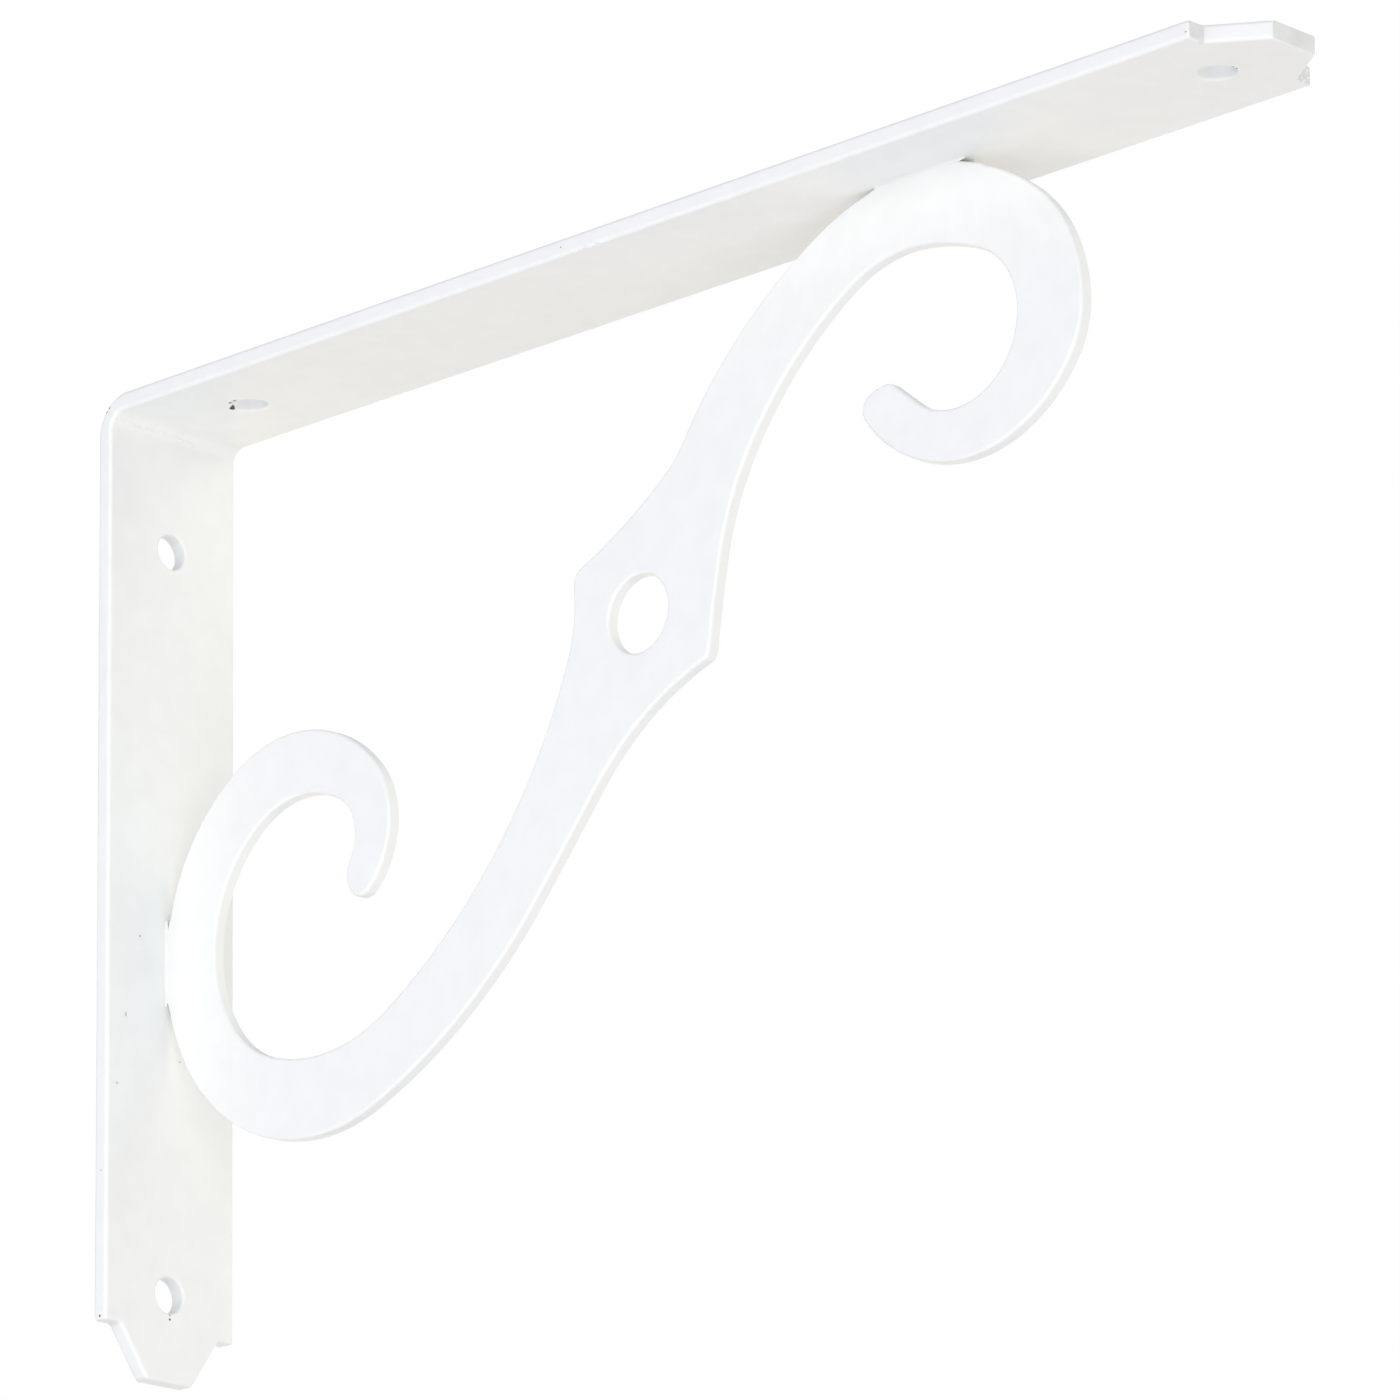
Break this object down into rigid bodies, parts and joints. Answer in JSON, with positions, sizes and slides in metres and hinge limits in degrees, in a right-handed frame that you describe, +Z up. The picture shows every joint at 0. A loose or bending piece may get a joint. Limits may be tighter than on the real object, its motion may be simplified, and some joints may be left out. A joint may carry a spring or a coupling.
{
  "type": "decorative shelf bracket",
  "caption": "Right-angle shelf bracket bent from flat steel strip with clipped ends and screw holes, braced by a flat scroll plate with a pointed, pierced boss.",
  "frame": {"origin": "on the wall plane, at the middle of the strip's width, midway between the wall arm's two screw holes", "axes": "+Y out of the back of the wall arm, into the wall; +Z up, towards the shelf; the shelf arm points to -Y; X across the strip"},
  "size_m": [0.025, 0.22, 0.1475],
  "materials": {
    "strip_coat": "white powder coat, satin, faint orange peel",
    "scroll_coat": "white powder coat, satin, faint orange peel"
  },
  "bodies": {
    "root": {"bent_strip": "strip_coat", "scroll_plate": "scroll_coat"}
  },
  "joints": []
}
